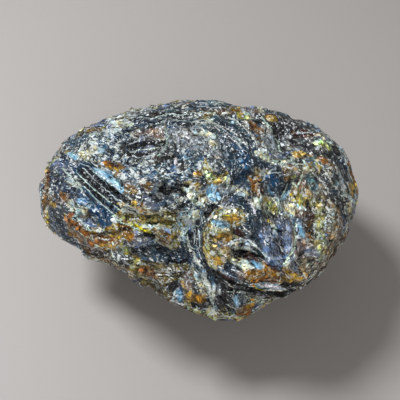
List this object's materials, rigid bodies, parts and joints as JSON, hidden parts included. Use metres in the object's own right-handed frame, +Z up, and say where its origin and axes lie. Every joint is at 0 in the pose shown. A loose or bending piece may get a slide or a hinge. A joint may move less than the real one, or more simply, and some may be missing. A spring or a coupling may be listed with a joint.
{
  "type": "raw amber lump",
  "caption": "Rough natural lump of dark amber with chipped faces, worn corners and a flat break that it rests on.",
  "frame": {"origin": "middle of the lump's box in X and Y, on the surface it rests on", "axes": "+Z up off the flat break, +X along the length, -Y towards the side with the overhanging lip"},
  "size_m": [0.113, 0.0932, 0.0602],
  "materials": {
    "amber": "dark glassy fossil resin with pale powdery chipped edges and see-through olive, yellow and orange-red windows"
  },
  "bodies": {
    "root": {"amber_lump": "amber"}
  },
  "joints": []
}
